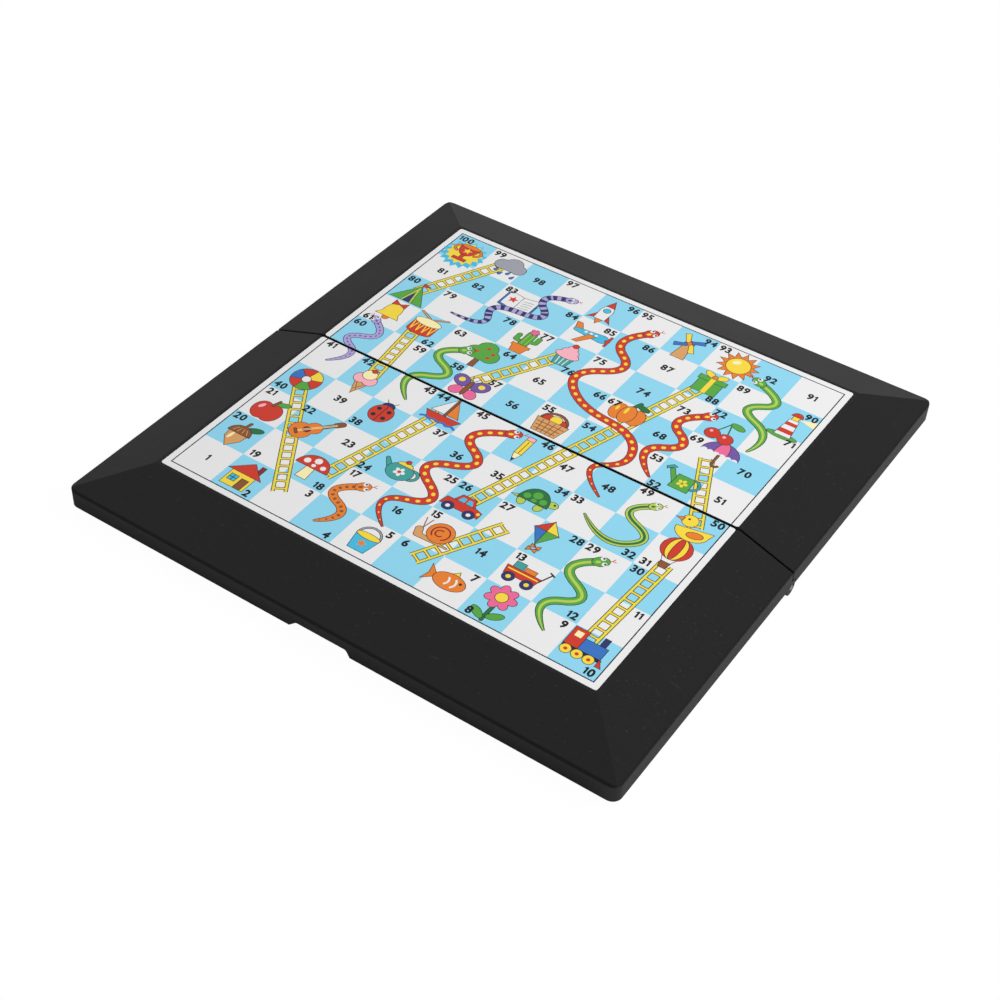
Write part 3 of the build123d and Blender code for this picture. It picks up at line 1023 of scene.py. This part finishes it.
# Each picture, its place in squares from the front left corner, and its size in millimetres.
PICTURES = [
    (house, 1.42, 0.5, 18), (apple, 0.5, 2.35, 16), (bucket, 4.5, 0.5, 16),
    (fish, 6.4, 0.5, 18), (flower, 7.5, 0.55, 19), (engine, 9.45, 0.62, 19),
    (mushroom, 2.35, 1.5, 17), (snail, 5.5, 1.5, 18), (wagon, 7.5, 1.5, 18),
    (acorn, 0.5, 1.4, 17), (motor_car, 5.45, 2.4, 19), (kite, 7.2, 2.55, 19),
    (guitar, 1.65, 2.45, 18), (teapot, 3.85, 2.5, 18), (balloon, 9.5, 3.65, 18),
    (ladybird, 2.45, 3.7, 16), (ball, 0.5, 3.6, 17), (turtle, 6.5, 3.4, 18),
    (boat, 3.55, 4.5, 18), (ice_cream, 1.5, 4.25, 17), (pencil, 5.45, 4.45, 17),
    (duck_boat, 9.5, 4.45, 18), (butterfly, 3.4, 5.4, 18), (basket, 5.5, 5.5, 18),
    (watering_can, 8.6, 5.55, 18), (bell, 0.5, 6.6, 16), (drum, 1.4, 6.65, 17),
    (tree, 3.0, 6.5, 18), (umbrella, 8.8, 6.7, 18), (pumpkin, 6.6, 6.75, 17),
    (tent, 0.5, 7.4, 18), (cupcake, 4.5, 7.6, 17), (cactus, 3.5, 7.45, 17),
    (cherries, 8.5, 7.4, 16), (lighthouse, 9.55, 8.4, 18), (gift, 7.5, 8.65, 18),
    (aeroplane, 4.5, 8.5, 18), (gold_cup, 0.5, 9.4, 19), (rain_cloud, 1.65, 9.5, 18),
    (story_book, 2.6, 8.55, 17), (rocket, 4.35, 9.4, 18), (windmill, 6.45, 9.4, 18),
    (sun, 7.7, 9.5, 18),
]

# A snake's head: its size in widths of the body, and how far past the body's end it lies.
HEAD_SIZE = 2.6
HEAD_REACH = 1.2

# Room kept free of numbers: round points along a ladder's middle, round a picture as a share of
# its size, and beyond a snake's side; and how clear of them all a number's place should be.
LADDER_STEP = 3.0
LADDER_ROOM = 3.3
PICTURE_ROOM = 0.46
SNAKE_ROOM = 0.4
NUMBER_ROOM = 2.6

# How far a number is shifted towards a corner of its square; the last one is wider.
NUMBER_SHIFT = (6.1, 7.0)
LAST_SHIFT = (5.5, 7.0)

# A digit's height, the height of one in the built-in font at size 1, how much its strokes are
# thickened as a share of its height, and the gap between two.
DIGIT_HEIGHT = 3.5
FONT_HEIGHT = 0.69
DIGIT_WEIGHT = 0.062
DIGIT_GAP = 0.3


def snake_head(pen, ink, mark):
    """Head from above, pointing along the pen's X, with its forked tongue out."""
    pen.mark("red", bar(5, 0, 10, 0, 0.9))
    pen.mark("red", bar(9.6, 0, 12.4, 1.8, 0.8), bar(9.6, 0, 12.4, -1.8, 0.8))
    pen.lay(ink, oval(0, 0, 7.4, 5.4))
    pen.mark(mark, oval(-2.4, 0, 2.4, 1.5))
    pen.mark("paper", oval(2.4, 3.3, 2.3), oval(2.4, -3.3, 2.3))
    pen.mark("line", oval(3.1, 3.4, 1.1), oval(3.1, -3.4, 1.1))


def snake_path(points):
    """Smooth open curve that runs past points counted in squares."""
    curve = bpy.data.curves.new("path", "CURVE")
    curve.dimensions = "3D"
    spline = curve.splines.new("NURBS")
    spline.points.add(len(points) - 1)
    for control, (across, back) in zip(spline.points, points):
        control.co = (*on_board(across, back), 0.0, 1.0)
    spline.order_u = 3
    spline.use_endpoint_u = True
    spline.resolution_u = 12
    return bpy.data.objects.new("path", curve)


def flat_mesh(maker):
    """Points and faces of a curve or text object, in its own plane."""
    mesh = bpy.data.meshes.new_from_object(maker)
    points = [vertex.co.xy for vertex in mesh.vertices]
    faces = [[points[corner] for corner in face.vertices] for face in mesh.polygons]
    bpy.data.meshes.remove(mesh)
    return points, faces


def digit_shape(digit):
    """Faces of one printed digit that stands on the origin, and its width.

    The 1 is drawn here, because the built-in font's has a foot.
    """
    if digit == "1":
        stem = block(0.29, 0.5, 0.23, 1.0)
        flag = [(0.36, 1.0), (0.24, 1.0), (0.02, 0.82), (0.02, 0.66), (0.36, 0.84)]
        faces = [[Vector(corner) * DIGIT_HEIGHT for corner in face] for face in (stem, flag)]
        return faces, 0.42 * DIGIT_HEIGHT
    curve = bpy.data.curves.new("digit", "FONT")
    curve.body = digit
    curve.size = DIGIT_HEIGHT / FONT_HEIGHT
    curve.offset = DIGIT_HEIGHT * DIGIT_WEIGHT
    curve.resolution_u = 3
    letters = bpy.data.objects.new("digit", curve)
    points, faces = flat_mesh(letters)
    bpy.data.objects.remove(letters)
    left = Vector((min(point.x for point in points), 0))
    width = max(point.x for point in points) - left.x
    return [[corner - left for corner in face] for face in faces], width


def numeral(number, digits):
    """Faces of a printed number, middled on the origin."""
    faces = []
    reach = 0.0
    for digit in str(number):
        made, width = digits[digit]
        faces += [[corner + Vector((reach, 0)) for corner in face] for face in made]
        reach += width + DIGIT_GAP
    centre = Vector(((reach - DIGIT_GAP) / 2, DIGIT_HEIGHT / 2))
    return [[corner - centre for corner in face] for face in faces]


def free_place(number, taken):
    """Where a number reads best in its square: the middle, or else the clearest place."""
    x, y = NUMBER_SHIFT if number < COLUMNS * ROWS else LAST_SHIFT
    best = None
    for spot in ((0, 0), (-x, y), (x, y), (-x, -y), (x, -y), (0, y), (0, -y)):
        place = square_middle(number) + Vector(spot)
        clear = min((place - point).length - room for point, room in taken)
        if clear > NUMBER_ROOM:
            return place
        if best is None or clear > best[0]:
            best = (clear, place)
    return best[1]


def draw_board():
    """The whole print: frame line, squares, ladders, pictures, snakes and numbers."""
    layers = Layers()
    taken = []
    width = -2 * grid_left + 2 * FRAME_LINE
    for low, high in ((front_low, front_high), (back_low, back_high)):
        near = low.y if low.y > 0 else grid_front - FRAME_LINE
        far = high.y if high.y < 0 else -grid_front + FRAME_LINE
        layers.lay("line", block(0, (near + far) / 2, width, far - near))
    squares = squares_recipe()
    for first_row, front in ((0, grid_front), (ROWS // 2, back_low.y)):
        stencil(
            layers, squares, ("paper", "sky"), corner=(grid_left, front, 0.0), across=square_width,
            back=square_depth, columns=COLUMNS, rows=ROWS // 2, first_row=first_row,
            even_ink=inks["paper"], odd_ink=inks["sky"])
    ladder = ladder_recipe()
    for foot, top in LADDERS:
        foot, top = on_board(*foot), on_board(*top)
        stencil(
            layers, ladder, ("olive", "lemon", "yellow"), foot=(*foot, 0.0), top=(*top, 0.0),
            line_ink=inks["olive"], rail_ink=inks["lemon"], rung_ink=inks["yellow"], **LADDER)
        steps = ceil((top - foot).length / LADDER_STEP)
        taken += [(foot.lerp(top, step / steps), LADDER_ROOM) for step in range(steps + 1)]
    for picture, across, back, size in PICTURES:
        place = on_board(across, back)
        picture(Pen(layers, place, size))
        taken.append((place, size * PICTURE_ROOM))
    snake = snake_recipe()
    for kind, points in SNAKES:
        sizes = dict(kind)
        body, mark = sizes.pop("inks")
        path = snake_path(points)
        run = flat_mesh(path)[0]
        stencil(
            layers, snake, ("line", body, mark), carrier=path, line_ink=inks["line"],
            body_ink=inks[body], mark_ink=inks[mark], **sizes)
        away = (run[0] - run[2]).normalized()
        turn = atan2(away.y, away.x) * 180 / pi
        pen = Pen(layers, run[0] + away * HEAD_REACH, sizes["width"] * HEAD_SIZE, turn)
        snake_head(pen, body, mark)
        taken += [(point, sizes["width"] / 2 + SNAKE_ROOM) for point in run]
    digits = {digit: digit_shape(digit) for digit in "0123456789"}
    for number in range(1, COLUMNS * ROWS + 1):
        place = free_place(number, taken)
        for face in numeral(number, digits):
            layers.lay("black", [place + corner for corner in face])
    return layers


# ---------- printed sheets

# Radius of the sheet's corners, how near points are made one, and what delaunay_2d_cdt gives:
# triangles within the outlines.
SHEET_CORNER = 1.0
MERGE_DISTANCE = 1e-4
TRIANGLES_WITHIN = 1


def printed_sheet(name, node, layers):
    """Closed sheet in its CAD solid's place, with one face group for each ink."""
    low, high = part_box(node)
    low_mm, high_mm = low / MM, high / MM
    centre = (low_mm + high_mm) / 2
    half = (high_mm - low_mm) / 2
    sheet = []
    for x, y, start in ((1, 1, 0), (-1, 1, 90), (-1, -1, 180), (1, -1, 270)):
        corner = (centre.x + x * (half.x - SHEET_CORNER), centre.y + y * (half.y - SHEET_CORNER))
        sheet += slice_of(*corner, SHEET_CORNER, start, start + 90)
    inside = [("paper", [Vector(point) for point in sheet])]
    for ink, outline in layers.shapes:
        ys = [point.y for point in outline]
        if max(ys) > low_mm.y and min(ys) < high_mm.y:
            inside.append((ink, outline))
    points, loops = [], []
    for ink, outline in inside:
        loops.append(range(len(points), len(points) + len(outline)))
        points += outline
    cut = delaunay_2d_cdt(points, [], loops, TRIANGLES_WITHIN, MERGE_DISTANCE, True)
    points, _, faces, _, _, owners = cut
    names = list(dict.fromkeys(ink for ink, outline in inside))
    mesh = bpy.data.meshes.new(name)
    bm = bmesh.new()
    corners = [bm.verts.new((point.x * MM, point.y * MM, high.z)) for point in points]
    # Each face is owned by the sheet, which comes first, and by the shapes over it in turn.
    for face, owner in zip(faces, owners):
        if 0 in owner:
            made = bm.faces.new([corners[index] for index in face])
            made.material_index = names.index(inside[max(owner)][0])
    bmesh.ops.delete(bm, geom=[v for v in bm.verts if not v.link_faces], context="VERTS")
    rim = [edge for edge in bm.edges if edge.is_boundary]
    walls = bmesh.ops.extrude_edge_only(bm, edges=rim)["geom"]
    for item in walls:
        if isinstance(item, bmesh.types.BMVert):
            item.co.z = low.z
        elif isinstance(item, bmesh.types.BMFace):
            item.material_index = 0
    bottom = [item for item in walls if isinstance(item, bmesh.types.BMEdge) and item.is_boundary]
    bmesh.ops.edgenet_fill(bm, edges=bottom, mat_nr=0)
    bmesh.ops.recalc_face_normals(bm, faces=bm.faces)
    bm.to_mesh(mesh)
    bm.free()
    for ink in names:
        mesh.materials.append(inks[ink])
    piece = bpy.data.objects.new(name, mesh)
    bpy.context.scene.collection.objects.link(piece)
    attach(piece, "front_half" if node.startswith("front") else "back_half")
    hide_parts(node)


board = draw_board()
printed_sheet("front_printed_sheet", "front_play_sheet", board)
printed_sheet("back_printed_sheet", "back_play_sheet", board)


# ---------- moulded and metal parts

finishes = {
    "tray": moulded_plastic(),
    "pin": drawn_steel(),
    "magnet": nickel_plate(),
    "plate": tinned_steel(),
}
for node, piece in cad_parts.items():
    for part, material in finishes.items():
        if part in node:
            piece.data.materials.clear()
            piece.data.materials.append(material)


# ---------- floor, light and camera

BLACK = (0.0, 0.0, 0.0, 1.0)
WHITE = (1.0, 1.0, 1.0, 1.0)
WORLD_LIGHT = 0.37
LAMP_DISTANCE = 2.0

# The paper sweep: its shade, its glow to the camera, how clear the camera finds it, and its
# reach from the middle.
SWEEP_SHADE = (0.45, 0.45, 0.45, 1.0)
SWEEP_GLOW = (0.6, 0.6, 0.6, 1.0)
SWEEP_CLEARNESS = 0.95
SWEEP_REACH = 3.0

# How far from the middle the board ends on the sweep, in X and in Y, and the front half in Y.
BOARD_FADE = (0.114, 0.120)
FRONT_MIDDLE = -0.0575
FRONT_FADE = (0.0583, 0.0587)

LENS = 64.034
CAMERA_PLACE = (0.28538, -0.46532, 0.47864)
CAMERA_AIM = (0.008475, -0.024904, 0.0031)
CAMERA_ROLL = 3.045


def sweep_finish():
    """Pale paper, seen white from above but for the board's soft shadow, and clear from below.

    Under the board it lets light up to the hollows, and under the front half it stays dark.
    """
    finish = Finish("paper_sweep")
    seen = finish.node("ShaderNodeLightPath", output="Is Camera Ray")
    behind = finish.node("ShaderNodeNewGeometry", output="Backfacing")
    aside = finish.away("X", *BOARD_FADE)
    beside_board = aside.at_least(finish.away("Y", *BOARD_FADE))
    beside_front = aside.at_least(finish.away("Y", *FRONT_FADE, middle=FRONT_MIDDLE))
    clear = (beside_front * SWEEP_CLEARNESS).at_least(behind)
    share = seen * clear + (1.0 - seen) * (1.0 - beside_board)
    glow = finish.mixed(seen * beside_front, BLACK, SWEEP_GLOW)
    paper = finish.shader(
        Base_Color=SWEEP_SHADE, Roughness=0.9, Specular_IOR_Level=0.1, Emission_Color=glow,
        Emission_Strength=1.0)
    return finish.done(finish.blended(share, paper, finish.node("ShaderNodeBsdfTransparent")))


def studio():
    """Even pale light from all round, on a background that the eye sees white."""
    world = bpy.data.worlds.new("studio")
    world.use_nodes = True
    graph = Graph(world.node_tree)
    graph.tree.nodes.clear()
    seen = graph.node("ShaderNodeLightPath", output="Is Camera Ray")
    light, white = [
        graph.node("ShaderNodeBackground", {"Color": WHITE, "Strength": strength})
        for strength in (WORLD_LIGHT, 1.0)]
    graph.node("ShaderNodeOutputWorld", {"Surface": graph.blended(seen, light, white)})
    bpy.context.scene.world = world


def soft_lamp(name, azimuth, elevation, size, watts, mirrored):
    """Round soft lamp aimed at the board's middle; azimuths run from the front to the right."""
    turn, rise = radians(azimuth), radians(elevation)
    level = LAMP_DISTANCE * cos(rise)
    place = Vector((level * sin(turn), -level * cos(turn), LAMP_DISTANCE * sin(rise)))
    lamp = bpy.data.lights.new(name, "AREA")
    lamp.shape = "DISK"
    lamp.size = size
    lamp.energy = watts
    made = bpy.data.objects.new(name, lamp)
    aimed = place.to_track_quat("Z", "Y").to_matrix().to_4x4()
    made.matrix_world = Matrix.Translation(place) @ aimed
    made.visible_camera = False
    made.visible_glossy = mirrored
    bpy.context.scene.collection.objects.link(made)


studio()
edges = (-SWEEP_REACH, SWEEP_REACH)
sweep_mesh = bpy.data.meshes.new("sweep")
sweep_mesh.from_pydata([(x, y, 0.0) for x in edges for y in edges], [], [(0, 2, 3, 1)])
sweep_mesh.materials.append(sweep_finish())
sweep = bpy.data.objects.new("sweep", sweep_mesh)
bpy.context.scene.collection.objects.link(sweep)
soft_lamp("key_lamp", azimuth=115, elevation=40, size=1.3, watts=46, mirrored=False)
soft_lamp("back_lamp", azimuth=203, elevation=13, size=0.9, watts=0.5, mirrored=True)

lens = bpy.data.cameras.new("camera")
lens.lens = LENS
lens.sensor_width = 36.0
lens.clip_start = 0.01
camera = bpy.data.objects.new("camera", lens)
stand = Vector(CAMERA_PLACE)
turned = (Vector(CAMERA_AIM) - stand).to_track_quat("-Z", "Y").to_matrix()
turned = turned @ Matrix.Rotation(radians(CAMERA_ROLL), 3, "Z")
camera.matrix_world = Matrix.Translation(stand) @ turned.to_4x4()
bpy.context.scene.collection.objects.link(camera)
bpy.context.scene.camera = camera
bpy.context.scene.view_settings.view_transform = "Standard"
